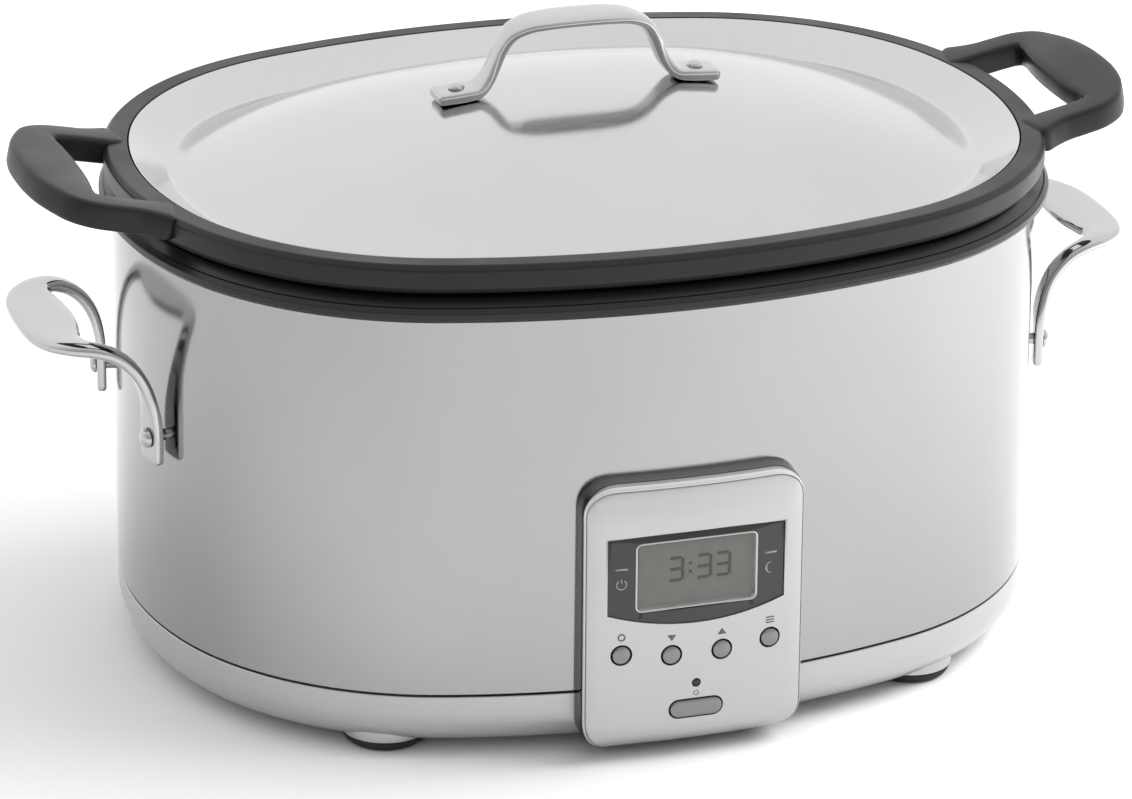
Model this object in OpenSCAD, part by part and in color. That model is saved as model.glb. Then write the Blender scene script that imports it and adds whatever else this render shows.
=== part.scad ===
// Oval slow cooker: a lift-out cast pot with a pressed lid, in a steel-wrapped heated housing.
// The housing's plan is an oval of eight tangent arcs. Every shell is that oval moved in or out,
// so a shell's section is drawn once: x is the offset from the wrapper's outer face, y is height.

/* [Housing] */
// Radius of the oval's four corners
corner_r = 125; // [115:1:135]
// How much flatter the ends are than the corners
end_flat = 2; // [1.5:0.5:2.5]
// How much flatter the long sides are than the corners
side_flat = 9; // [8.5:0.5:9.5]
// Height of the skirt's underside above the table
foot_gap = 4.5; // [3:0.5:6]
// Height of the seam between skirt and wrapper
seam_z = 28.5; // [26:0.5:31]
// Radius of the skirt's lower edge
skirt_round = 16; // [12:1:18]
// Height of the wrapper's top edge
wrapper_top = 187.4; // [185:0.2:190]
// Thickness of the wrapper sheet
sheet = 1; // [0.8:0.1:1.2]

/* [Pot] */
// Height of the pot's flat rim
rim_top = 210.4; // [209:0.2:212]
// Thickness of the pot's rim
rim_thick = 11.8; // [11:0.2:12]
// Distance of the pot's wall inside the wrapper
pot_inset = 27.5; // [27:0.5:29]
// Thickness of the pot's wall
pot_wall = 5; // [4:0.5:6]
// Height of the pot's underside above the table
pot_bottom = 66; // [66:1:72]
// Reach of the pot's handles from the centre
pot_handle_reach = 234; // [232:1:238]
// Width of the pot's handles
pot_handle_w = 104; // [100:2:110]
// Rise of the pot's handles towards their tips, in degrees
pot_handle_rise = 12; // [8:1:14]

/* [Lid] */
// Height of the lid's crown
crown_z = 231; // [229:1:233]
// Width of the lid's sloping flange
flange_w = 16.4; // [15:0.2:18]
// Thickness of the lid sheet
lid_sheet = 1.2; // [1:0.1:1.4]
// Height of the top of the lid's handle
lid_handle_top = 261.8; // [258:0.2:264]
// Width of the lid's handle
lid_handle_w = 15; // [13:1:18]

/* [Side handles] */
// Height of the grip's top face
grip_top = 154; // [150:1:158]
// Reach of the grips from the centre
grip_reach = 236; // [232:1:240]
// Width of the grips
grip_w = 86; // [80:2:90]
// Distance of each leg from the middle
leg_y = 42; // [40:1:43]

/* [Panel] */
// Half width of the panel front
panel_half = 46; // [45:0.5:47]
// Height of the panel's top edge
panel_top = 120.5; // [118:0.5:122]
// How far the panel's front stands off the wrapper
panel_depth = 11; // [10.5:0.5:12]
// Diameter of the round buttons
button_d = 8.3; // [7.5:0.1:9]
// How far the buttons stand proud
button_proud = 1.2; // [1:0.1:1.4]
// Gap between each button and its hole
button_gap = 0.3; // [0.25:0.05:0.4]

/* [Hidden] */
$fn = 96;

// Oval: unit directions of the joints between arcs are (0.96, 0.28) and (0.28, 0.96)
end_r = corner_r + 25 * end_flat;
side_r = corner_r + 25 * side_flat;
half_l = corner_r + end_flat + 7 * side_flat;
half_w = corner_r + 7 * end_flat + side_flat;
c_corner = [7 * side_flat, 7 * end_flat];
c_end = c_corner - 24 * [end_flat, 0] - [0, c_corner.y];
c_side = [0, c_corner.y - 24 * side_flat];
low_dir = [0.96, 0.28];
high_dir = [0.28, 0.96];
far = 800;
slip = 0.1;

// Housing heights and places
floor_t = 2.5;
floor_z = foot_gap + floor_t;
foot_x = 112;
foot_y = 104;
foot_r = 17.5;
shield_floor = 40;
ledge_z = rim_top - rim_thick - 0.3;
post_x = half_l - 18;
post_y = 124;
post_r = 5;
screw_x = half_l - 44;
screw_y = half_w - 45;
plate_screws = concat(
  [[screw_x, 0], [-screw_x, 0]],
  [for (x = [-45, 45]) for (y = [-screw_y, screw_y]) [x, y]]);
gland_z = 50;
gland_r = 7;
cord_hole_r = 3.6;

// Pot
rim_out = 3;
lid_edge = -7.6;
lid_seat = lid_edge + 0.6;
cone_slope = 2 / 3;
pot_floor = pot_bottom + 6;
pot_in = -pot_inset - pot_wall;
pot_handle_t = 11.5;
pot_handle_root = half_l - 12;

// Lid
valley = lid_edge - flange_w;
valley_z = rim_top - 0.1 - flange_w * cone_slope;
dome_edge = valley - 7;
dome_flat = -122;
lid_rivet_x = 51;
lid_handle_t = 5;
foot_top = crown_z + slip + lid_handle_t;

// Side handles
pad_in = half_l - 2.2;
pad_t = 4;
pad_low = grip_top - 52;
rivet_z = pad_low + 12;
rivet_hole_r = 2.6;

// Panel
panel_y = c_side.y + 2 * side_r - half_w - side_r;
face_r = side_r + panel_depth;
shell = 2.5;
board_y = -half_w - 0.6;
board_t = 1.6;
switch_h = 2;
button_travel = 1;
button_z = 47.6;
button_x = 31;
inner_button_z = 45.6;
inner_button_x = 10.5;
power_z = 21.9;
power_w = 22;
power_h = 7.4;
window_half = 36.6;
window_top = 96.5;
window_low = 58.7;
window_arc = 111.8;
lcd_half = 25.5;
lcd_low = 64.7;
lcd_h = 29.5;
lcd_y = -half_w - 8.2;
lamp_z = 32.6;
lamp_r = 1.6;
surround_depth = 8;
surround_t = 3;
panel_corner = 14;
button_places = [
  [-button_x, button_z], [-inner_button_x, inner_button_z],
  [inner_button_x, inner_button_z], [button_x, button_z]];
board_back = board_y - board_t - slip;
stem_y = board_back - switch_h - button_travel - 0.3;

// y of the panel surface at x, for a shell depth in from the front face
function face_y(x, depth = 0) = -c_side.y - sqrt(pow(face_r - depth, 2) - x * x);

// Points of an arc, for outlines that are swept as flat ribbons
function arc(centre, r, from, to, steps = 6) =
  [for (i = [0:steps]) let (a = from + (to - from) * i / steps) centre + r * [cos(a), sin(a)]];
function reversed(p) = [for (i = [len(p) - 1:-1:0]) p[i]];

// One arc's share of a sweep: a full turn cut by the wedge between two joint directions
module sector(centre, r, from, to) {
  translate(centre) intersection() {
    rotate(180) rotate_extrude() translate([r, 0]) children();
    translate([0, 0, -far / 2]) linear_extrude(far) polygon([[0, 0], far * from, far * to]);
  }
}

// Sweeps a section round the oval
module around() {
  for (turn = [0, 180]) rotate(turn) {
    sector(c_end, end_r, [low_dir.x, -low_dir.y], low_dir) children();
    sector(c_side, side_r, high_dir, [-high_dir.x, high_dir.y]) children();
    sector(c_corner, corner_r, low_dir, high_dir) children();
    mirror([0, 1, 0]) sector(c_corner, corner_r, low_dir, high_dir) children();
  }
}

// One arc's share of the oval's plan: a disc cut by a wedge that opens out from an inner edge
module slice(centre, r, from, to, edge_from, edge_to) {
  intersection() {
    translate(centre) circle(r = r);
    polygon([edge_from, edge_from + far * from, edge_to + far * to, edge_to]);
  }
}

module corner_slice(off) {
  slice(c_corner, corner_r + off, low_dir, high_dir, c_corner, c_corner);
}

// The oval's plan, moved out by off
module oval(off) {
  for (turn = [0, 180]) rotate(turn) {
    slice(c_end, end_r + off, [low_dir.x, -low_dir.y], low_dir, [c_corner.x, -c_corner.y], c_corner);
    slice(c_side, side_r + off, high_dir, [-high_dir.x, high_dir.y], c_corner, [-c_corner.x, c_corner.y]);
    corner_slice(off);
    mirror([0, 1]) corner_slice(off);
  }
  square(2 * c_corner, center = true);
}

module oval_plate(off, z, t) {
  translate([0, 0, z]) linear_extrude(t) oval(off);
}

// A wall of the oval between two offsets and two heights
module wall(outer, inner, z0, z1) {
  around() translate([inner, z0]) square([outer - inner, z1 - z0]);
}

module at_corners(x, y) {
  for (sx = [-1, 1]) for (sy = [-1, 1]) translate([sx * x, sy * y, 0]) children();
}

module slab(low, high) {
  translate(low) cube(high - low);
}

// ---- Lid ----

// Height of the crown's upper face, from 0 at its edge to 1 at the flat middle
function crown_height(t) = crown_z - (crown_z - valley_z) * pow(1 - t, 1.7);

// The crown's upper or lower line: points from the valley to the flat middle
function crown_line(off, drop) = [for (i = [0:10])
  [off + (dome_flat - off) * i / 10, crown_height(i / 10) - drop]];

module lid_shell() {
  edge_z = rim_top - 0.1;
  drop = lid_sheet * 1.2;
  color("gainsboro") difference() {
    union() {
      around() polygon(concat(
        [[lid_edge, edge_z], [lid_edge, edge_z - drop], [valley, valley_z - drop]],
        crown_line(dome_edge - lid_sheet, drop), reversed(crown_line(dome_edge, 0)),
        [[valley, valley_z]]));
      oval_plate(dome_flat + 1, crown_z - drop, drop);
    }
    lid_rivet_holes();
  }
}

module lid_rivet_holes() {
  for (side = [-1, 1]) translate([side * lid_rivet_x, 0, crown_z - 20]) cylinder(r = rivet_hole_r, h = 40);
}

// Half of the lid handle's bend, from the middle of its top to the foot's tip
function ribbon_half() = concat(
  [[0, lid_handle_top - lid_handle_t / 2]],
  arc([21, lid_handle_top - lid_handle_t / 2 - 10.5], 10.5, 85, 15),
  arc([47, foot_top - lid_handle_t / 2 + 9], 9, 195, 270),
  [[60, foot_top - lid_handle_t / 2]]);

// Closed outline of a ribbon of thickness t laid along the points p
function side_of(p, t) = [for (i = [0:len(p) - 1])
  let (a = p[max(i - 1, 0)], b = p[min(i + 1, len(p) - 1)], d = (b - a) / norm(b - a))
  p[i] + t / 2 * [-d.y, d.x]];
function ribbon(p, t) = concat(side_of(p, t), reversed(side_of(p, -t)));

module lid_handle() {
  right = ribbon_half();
  left = reversed([for (p = right) [-p.x, p.y]]);
  path = concat(left, [for (i = [1:len(right) - 1]) right[i]]);
  color("silver") difference() {
    translate([0, lid_handle_w / 2, 0]) rotate([90, 0, 0])
      linear_extrude(lid_handle_w) polygon(ribbon(path, lid_handle_t));
    lid_rivet_holes();
  }
}

module lid_rivets() {
  color("silver") for (side = [-1, 1]) translate([side * lid_rivet_x, 0, 0]) {
    translate([0, 0, crown_z - 7]) cylinder(r = 2.5, h = foot_top - crown_z + 7);
    translate([0, 0, foot_top]) cylinder(r1 = 4.4, r2 = 3.2, h = 1.8);
    translate([0, 0, crown_z - 7]) cylinder(r = 4.2, h = 1.6);
  }
}

// ---- Pot ----

module pot_section() {
  rim_low = rim_top - rim_thick;
  seat_z = rim_top - 1.8;
  cone_low = [lid_seat - 18, seat_z - 18 * cone_slope];
  polygon([
    [rim_out - 2, rim_top], [rim_out, rim_top - 3], [rim_out, rim_low + 3], [rim_out - 3, rim_low],
    [-12, rim_low], [-pot_inset, rim_low - (pot_inset - 12) * cone_slope],
    [-pot_inset, pot_bottom + 10], [-pot_inset - 3, pot_bottom + 3], [-pot_inset - 10, pot_bottom],
    [-60, pot_bottom], [-60, pot_floor], [pot_in - 2, pot_floor], [pot_in, pot_floor + 2],
    [pot_in, cone_low.y - 6.4], cone_low, [lid_seat, seat_z], [lid_seat, rim_top]]);
}

// Plan of one pot handle: a wide grip on two arms, with its finger opening
module pot_handle_plan() {
  corner = 24;
  root = half_l - 30;
  half = pot_handle_w / 2;
  gap_x = pot_handle_reach - 25.5;
  gap_half = 36.5;
  difference() {
    union() {
      translate([root, -half]) square([pot_handle_reach - corner - root, 2 * half]);
      translate([root, corner - half]) square([pot_handle_reach - root, 2 * (half - corner)]);
      for (side = [-1, 1]) translate([pot_handle_reach - corner, side * (half - corner)]) circle(r = corner);
    }
    translate([root, -gap_half]) square([gap_x - root, 2 * gap_half]);
    oval(-6);
  }
}

// The handles rise outwards from the rim's top face
module insert_pot() {
  color("dimgray") union() {
    around() pot_section();
    oval_plate(-59, pot_bottom, pot_floor - pot_bottom);
    for (turn = [0, 180]) rotate(turn)
      translate([pot_handle_root, 0, rim_top]) rotate([0, -pot_handle_rise, 0])
        translate([-pot_handle_root, 0, -pot_handle_t]) linear_extrude(pot_handle_t) pot_handle_plan();
  }
}

// ---- Housing shells ----

module collar() {
  top = ledge_z;
  color("dimgray") around() polygon([
    [-sheet - 0.2, wrapper_top - 9], [-sheet - 0.2, wrapper_top], [3.6, wrapper_top], [5, wrapper_top + 1.6],
    [5, wrapper_top + 3.6], [3.2, wrapper_top + 6.2], [2.2, wrapper_top + 6.4], [-1.5, top - 1.5],
    [-6.5, top - 0.5], [-8, top], [-11.7, top], [-11.7, top - 2], [-7.5, top - 2],
    [-sheet - 1.8, top - 6.5], [-sheet - 1.8, wrapper_top - 9]]);
}

module rivet_holes() {
  for (turn = [0, 180]) rotate(turn) for (side = [-1, 1])
    translate([half_l - 12, side * leg_y, rivet_z]) rotate([0, 90, 0]) cylinder(r = rivet_hole_r, h = 30);
}

module outer_wrapper() {
  color("silver") difference() {
    wall(0, -sheet, seam_z + 0.4, wrapper_top - slip);
    rivet_holes();
    translate([0, half_w - 10, gland_z]) rotate([-90, 0, 0]) cylinder(r = gland_r + slip, h = 20);
    slab([-15, -half_w - 10, 85], [15, -half_w + 20, 105]);
  }
}

// Skirt section: rounded lower edge, floor ring, and the lip that locates the wrapper
module skirt_section() {
  ring_in = 48;
  round_z = foot_gap + skirt_round;
  difference() {
    union() {
      translate([-skirt_round, round_z]) circle(r = skirt_round);
      translate([-ring_in, foot_gap]) square([ring_in - skirt_round, 20]);
      translate([-skirt_round, round_z]) square([skirt_round, seam_z - 0.4 - round_z]);
      translate([-skirt_round, seam_z - 1]) square([skirt_round - 0.6, 1.4]);
      translate([-sheet - 3, seam_z - 2]) square([2.8, 8]);
    }
    translate([-skirt_round, round_z]) circle(r = skirt_round - floor_t);
    translate([-ring_in - 1, floor_z]) square([ring_in + 1 - skirt_round, 40]);
    translate([-skirt_round - 1, round_z]) square([skirt_round + 1 - floor_t, seam_z - 2 - round_z]);
    translate([-skirt_round - 1, seam_z - 5]) square([skirt_round - sheet - 2, 20]);
  }
}

module post(x, y, top) {
  translate([x, y, floor_z - 1]) cylinder(r = post_r, h = top - floor_z + 1);
}

// Carries the heat shield on posts, and each foot under a round boss
module base_skirt() {
  shield_low = shield_floor - slip;
  color("gainsboro") difference() {
    union() {
      around() skirt_section();
      for (x = [-post_x, post_x]) post(x, 0, shield_low);
      for (x = [-60, 60]) for (y = [-post_y, post_y]) post(x, y, shield_low);
      at_corners(foot_x, foot_y) {
        post(0, 0, floor_z + 8);
        translate([0, 0, foot_gap]) cylinder(r = foot_r + 0.5, h = floor_t);
      }
    }
    at_corners(foot_x, foot_y) cylinder(r = 2, h = 13);
    for (p = plate_screws) translate([p.x, p.y, 0]) cylinder(r = 2.1, h = 20);
  }
}

// Closes the skirt's bottom from inside; its slots let cooling air in
module base_plate() {
  vent_rows = 5;
  vent_pitch = 11;
  color("gray") difference() {
    oval_plate(-40, floor_z + slip, 1.2);
    for (side = [-1, 1]) for (i = [0:vent_rows - 1])
      slab([side * 85 - 20, (i - 2) * vent_pitch - 2, 0], [side * 85 + 20, (i - 2) * vent_pitch + 2, 20]);
    for (p = plate_screws) translate([p.x, p.y, 0]) cylinder(r = 1.7, h = 20);
    at_corners(42, 27) cylinder(r = 1.6, h = 20);
  }
}

module base_plate_screws() {
  color("gray") for (p = plate_screws) translate([p.x, p.y, 0]) {
    translate([0, 0, foot_gap - 1.6]) cylinder(r = 3.2, h = 1.6 - slip);
    translate([0, 0, foot_gap - 0.5]) cylinder(r = 1.6, h = 8);
  }
}

module foot(sx, sy) {
  color("dimgray") translate([sx * foot_x, sy * foot_y, 0]) difference() {
    union() {
      cylinder(r1 = foot_r - 3, r2 = foot_r - 1.5, h = 1.5);
      translate([0, 0, 1.5]) cylinder(r1 = foot_r - 1.5, r2 = foot_r, h = foot_gap - 1.6);
    }
    cylinder(r = 2.2, h = 20);
    translate([0, 0, -1]) cylinder(r = 5, h = 3);
  }
}

module foot_front_left() { foot(-1, -1); }
module foot_front_right() { foot(1, -1); }
module foot_rear_left() { foot(-1, 1); }
module foot_rear_right() { foot(1, 1); }

module foot_screws() {
  color("gray") at_corners(foot_x, foot_y) {
    translate([0, 0, 0.6]) cylinder(r = 4.2, h = 1.3);
    translate([0, 0, 1.8]) cylinder(r = 1.9, h = 10);
  }
}

// ---- Side handles ----

// Bend of a side handle seen from the front: up the pad, out and level into the grip
function handle_path() = concat(
  [[pad_in + pad_t / 2, pad_low]],
  arc([pad_in + pad_t / 2 + 24, grip_top - pad_t / 2 - 24], 24, 180, 95),
  [[grip_reach + 2, grip_top - pad_t / 2 + 1]]);

// Plan that cuts the bent ribbon into two padded legs and a wide grip
module side_handle_plan() {
  corner = 16;
  grip_d = 22;
  pad_w = 13;
  root = half_l - 20;
  half = grip_w / 2;
  for (side = [-1, 1]) translate([root, side * leg_y - pad_w / 2]) square([pad_in + 8 - root, pad_w]);
  difference() {
    union() {
      translate([root, -half]) square([grip_reach - corner - root, 2 * half]);
      translate([root, corner - half]) square([grip_reach - root, 2 * (half - corner)]);
      for (side = [-1, 1]) translate([grip_reach - corner, side * (half - corner)]) circle(r = corner);
    }
    translate([root - 1, pad_w / 2 - leg_y]) square([grip_reach - grip_d - root + 1, 2 * leg_y - pad_w]);
  }
}

module side_handle() {
  color("silver") difference() {
    intersection() {
      translate([0, 60, 0]) rotate([90, 0, 0]) linear_extrude(120) polygon(ribbon(handle_path(), pad_t));
      linear_extrude(300) side_handle_plan();
    }
    rivet_holes();
  }
}

module side_handle_left() { rotate(180) side_handle(); }
module side_handle_right() { side_handle(); }

module side_handle_rivets() {
  color("silver") for (turn = [0, 180]) rotate(turn) for (side = [-1, 1])
    translate([0, side * leg_y, rivet_z]) rotate([0, 90, 0]) {
      translate([0, 0, half_l - 9]) cylinder(r = 2.5, h = pad_in + pad_t - half_l + 9);
      translate([0, 0, half_l - 4.1]) cylinder(r = 3.8, h = pad_in - half_l + 4.1 - slip);
      translate([0, 0, pad_in + pad_t]) cylinder(r1 = 4.4, r2 = 3, h = 2.2);
      translate([0, 0, half_l - 9]) cylinder(r = 4, h = 1.4);
    }
}

// ---- Control panel ----

// Sweeps a section along the housing's front side
module front_sweep() {
  translate([0, -c_side.y, 0]) rotate_extrude() translate([side_r, 0]) children();
}

// Keeps what lies in front of the housing inside a front-view outline
module front_cut(depth = 100) {
  translate([0, -depth, 0]) rotate([90, 0, 0]) linear_extrude(100) children();
}

// Front view of the panel, drawn inset from its edge
module panel_outline(inset) {
  half = panel_half - inset;
  top = panel_top - inset;
  r = panel_corner - inset;
  translate([-half, 0]) square([2 * half, top - r]);
  translate([r - half, top - 2 * r]) square([2 * (half - r), 2 * r]);
  for (side = [-1, 1]) translate([side * (half - r), top - r]) circle(r = r);
}

// Section of a box front with rounded lower and upper edges
module front_section(depth, low, top, r_low, r_top) {
  translate([-20, low + r_low]) square([20 + depth, top - low - r_low - r_top]);
  translate([-20, low]) square([20 + depth - r_low, 2 * r_low]);
  translate([-20, top - 2 * r_top]) square([20 + depth - r_top, 2 * r_top]);
  translate([depth - r_low, low + r_low]) circle(r = r_low);
  translate([depth - r_top, top - r_top]) circle(r = r_top);
}

// Section of the housing that the panel is fitted over, with a gap
module housing_section(gap) {
  translate([-60, foot_gap + skirt_round]) square([60 + gap, 200]);
  translate([-skirt_round, foot_gap + skirt_round]) circle(r = skirt_round + gap);
  translate([-60, 0]) square([60 - skirt_round, 40]);
}

// The panel's rounded box, drawn inset from its outer surface
module panel_box(inset) {
  low = foot_gap + inset;
  top = panel_top - inset;
  intersection() {
    front_sweep() front_section(panel_depth - inset, low, top, 12 - inset, 4 - inset);
    front_cut() panel_outline(inset);
  }
}

// The band round the panel's edge that lies behind its front plate
module surround_band(gap) {
  intersection() {
    front_sweep() translate([-20, 0]) square([20 + surround_depth + gap, 200]);
    front_cut() difference() {
      translate([-100, 0]) square([200, 200]);
      panel_outline(surround_t + gap);
    }
  }
}

module panel_surround() {
  color("gray") difference() {
    intersection() {
      panel_box(0);
      surround_band(0);
    }
    front_sweep() housing_section(0.2);
  }
}

module window_outline(gap) {
  half = window_half + gap;
  intersection() {
    translate([-half, window_low - 5]) square([2 * half, window_top - window_low + 5 + gap]);
    translate([0, window_low + window_arc]) circle(r = window_arc + gap);
  }
}

module power_outline(gap) {
  r = power_h / 2;
  translate([r - power_w / 2, power_z - r - gap]) square([power_w - 2 * r, 2 * (r + gap)]);
  for (side = [-1, 1]) translate([side * (power_w / 2 - r), power_z]) circle(r = r + gap);
}

// A round hole through the panel's front
module front_hole(place, r) {
  translate([place.x, -100, place.y]) rotate([90, 0, 0]) cylinder(r = r, h = 100);
}

module panel_fascia() {
  color("gainsboro") difference() {
    panel_box(0);
    panel_box(shell);
    surround_band(slip);
    front_sweep() housing_section(0.3);
    front_cut() window_outline(0.2);
    front_cut() power_outline(button_gap);
    for (p = button_places) front_hole(p, button_d / 2 + button_gap);
    front_hole([0, lamp_z], lamp_r + slip);
  }
}

module display_window() {
  color([0.25, 0.25, 0.27]) difference() {
    intersection() {
      front_sweep() translate([panel_depth - 2.4, 0]) square([1.8, 200]);
      front_cut() window_outline(0);
    }
    slab([-lcd_half - slip, -half_w - 30, lcd_low - slip],
      [lcd_half + slip, -half_w + 30, lcd_low + lcd_h + slip]);
  }
}

module display_frame() {
  rail = 1.3;
  color("silver") intersection() {
    front_sweep() translate([panel_depth - 2.4, 0]) square([2.2, 200]);
    front_cut() difference() {
      translate([-lcd_half, lcd_low]) square([2 * lcd_half, lcd_h]);
      translate([rail - lcd_half, lcd_low + rail]) square([2 * (lcd_half - rail), lcd_h - 2 * rail]);
    }
  }
}

module display_glass() {
  rail = 1.5;
  color([0.62, 0.66, 0.6])
    slab([rail - lcd_half, lcd_y, lcd_low + rail], [lcd_half - rail, lcd_y + 2.2, lcd_low + lcd_h - rail]);
}

module display_backlight() {
  color("white")
    slab([2 - lcd_half, lcd_y + 2.3, lcd_low + 2], [lcd_half - 2, board_back, lcd_low + lcd_h - 2]);
}

// Bars of one figure 3 in a seven-bar display
module figure_three(w, h, bar) {
  gap = 0.25;
  pitch = (h - bar) / 2;
  for (level = [0:2]) translate([0, level * pitch]) square([w - bar - gap, bar]);
  for (level = [0:1]) translate([w - bar, level * pitch + bar / 2 + gap]) square([bar, pitch - 2 * gap]);
}

module display_digits() {
  digit_h = 10.4;
  digit_w = 5.6;
  color([0.2, 0.22, 0.2]) translate([0, lcd_y, 76]) rotate([90, 0, 0]) linear_extrude(0.2) {
    for (x = [-10.6, 1, 9]) translate([x, 0]) figure_three(digit_w, digit_h, 1);
    for (z = [3, 6.6]) translate([-2.8, z]) square([1, 1]);
  }
}

// A round button: cap through the panel, with a flange behind it that keeps it in
module round_button(place) {
  face = face_y(abs(place.x)) - button_proud;
  back = face_y(abs(place.x) + 6, shell) + 0.3;
  color("gainsboro") translate([place.x, 0, place.y]) rotate([-90, 0, 0]) {
    translate([0, 0, face]) cylinder(r1 = button_d / 2 - 0.5, r2 = button_d / 2, h = 0.5);
    translate([0, 0, face + 0.5]) cylinder(r = button_d / 2, h = stem_y - face - 0.5);
    translate([0, 0, back]) cylinder(r = button_d / 2 + 1, h = stem_y - back);
  }
}

module set_button() { round_button(button_places[0]); }
module down_button() { round_button(button_places[1]); }
module up_button() { round_button(button_places[2]); }
module mode_button() { round_button(button_places[3]); }

module power_button() {
  face = face_y(0) - button_proud;
  back = face_y(power_w / 2 + 1, shell) + 0.3;
  color("silver") translate([0, stem_y, 0]) rotate([90, 0, 0]) {
    linear_extrude(stem_y - face) power_outline(0);
    linear_extrude(stem_y - back) power_outline(1);
  }
}

module indicator_light() {
  color("darkred") translate([0, board_back, lamp_z]) rotate([90, 0, 0])
    cylinder(r = lamp_r, h = board_back - face_y(0) - 0.3);
}

module control_board() {
  color("darkgreen") slab([-41, board_y - board_t, 12], [41, board_y, 114]);
}

module tact_switches() {
  places = concat(button_places, [[0, power_z]]);
  color("black") for (p = places) translate([p.x, board_back, p.y]) rotate([90, 0, 0]) {
    translate([-3, -3, 0]) cube([6, 6, switch_h - 0.5]);
    cylinder(r = 1.6, h = switch_h);
  }
}

module board_standoffs() {
  color("tan") for (p = [[-38, 106], [38, 106], [-38, 56], [38, 56]]) translate([p.x, 0, p.y]) {
    base = face_y(41, shell) + 0.1;
    translate([0, board_back, 0]) rotate([90, 0, 0]) cylinder(r = 2.6, h = board_back - base);
  }
}

// ---- Heating and electrics ----

module liner() {
  flange_z = ledge_z - 2.1;
  color("lightgray") difference() {
    union() {
      around() polygon([
        [-7.8, flange_z - 1], [-12.6, flange_z - 1], [-23, flange_z - 8], [-23, 62], [-40, 62],
        [-40, 63], [-24, 63], [-24, flange_z - 7.4], [-13, flange_z], [-7.8, flange_z]]);
      oval_plate(-39, 62, 1);
    }
    translate([0, 0, 50]) cylinder(r = 6.2, h = 20);
  }
}

module heater_band() {
  color("goldenrod") wall(-20.5, -22.9, 75, 115);
}

module heater_straps() {
  color("silver") {
    wall(-19.6, -20.4, 80, 88);
    wall(-19.6, -20.4, 102, 110);
  }
}

module insulation() {
  color("lightyellow") wall(-11.5, -19.4, 66, 170);
}

module heat_shield() {
  color("lightgray") difference() {
    union() {
      wall(-9.7, -10.5, shield_floor, 182);
      oval_plate(-10.2, shield_floor, 0.8);
    }
    translate([0, 0, shield_floor - 5]) cylinder(r = 15, h = 10);
  }
}

// Spring-loaded cup that touches the pot's floor through the liner
module temperature_sensor() {
  color("silver") {
    translate([0, 0, 50]) cylinder(r = 6, h = 15.5);
    translate([0, 0, 58]) cylinder(r = 11, h = 3.9);
  }
}

module thermal_fuse() {
  color("tan") {
    translate([30, -12, 57.9]) rotate([-90, 0, 0]) cylinder(r = 3.4, h = 24);
    slab([24, -5, 60], [36, 5, 61.9]);
  }
}

module power_board() {
  color("darkgreen") difference() {
    slab([-50, -35, 16], [50, 35, 17.6]);
    at_corners(42, 27) cylinder(r = 1.7, h = 30);
  }
}

module power_board_standoffs() {
  color("tan") at_corners(42, 27) {
    translate([0, 0, floor_z + 1.4]) cylinder(r = 3.2, h = 16 - floor_z - 1.5);
    translate([0, 0, floor_z + 0.2]) cylinder(r = 1.5, h = 12);
  }
}

module relay() {
  color("royalblue") slab([15, -22, 17.7], [43, -8, 33.5]);
}

module transformer() {
  color("khaki") {
    slab([-38, -14, 17.7], [-6, 16, 21]);
    slab([-34, -10, 20], [-10, 12, 37]);
  }
}

// Strain relief for the mains cord: its mouth grips the cord, and its inner part is wider
module cord_gland() {
  tip = half_w + panel_depth + button_proud;
  grip_y = half_w + button_proud;
  color("dimgray") translate([0, 0, gland_z]) rotate([-90, 0, 0]) difference() {
    union() {
      translate([0, 0, half_w - 9]) cylinder(r = gland_r, h = 10);
      translate([0, 0, half_w + 0.1]) cylinder(r = gland_r + 3, h = 2.5);
      translate([0, 0, half_w + 2]) cylinder(r1 = gland_r + 0.5, r2 = 5.6, h = tip - half_w - 2);
    }
    cylinder(r = cord_hole_r, h = far);
    cylinder(r = 5, h = grip_y);
  }
}

lid_shell();
lid_handle();
lid_rivets();
insert_pot();
collar();
outer_wrapper();
base_skirt();
base_plate();
base_plate_screws();
foot_front_left();
foot_front_right();
foot_rear_left();
foot_rear_right();
foot_screws();
side_handle_left();
side_handle_right();
side_handle_rivets();
panel_surround();
panel_fascia();
display_window();
display_frame();
display_glass();
display_digits();
display_backlight();
set_button();
down_button();
up_button();
mode_button();
power_button();
indicator_light();
control_board();
tact_switches();
board_standoffs();
liner();
heater_band();
heater_straps();
insulation();
heat_shield();
temperature_sensor();
thermal_fuse();
power_board();
power_board_standoffs();
relay();
transformer();
cord_gland();
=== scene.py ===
"""Looks of an oval slow cooker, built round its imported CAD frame.

Outlines and sections are written in millimetres, in the frame's own axes, and turned to metres
where a mesh is made. A section's x is its offset from the wrapper's outer face, as in the CAD.
"""

import math

import bmesh
import bpy
from mathutils import Matrix, Vector, geometry


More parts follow.
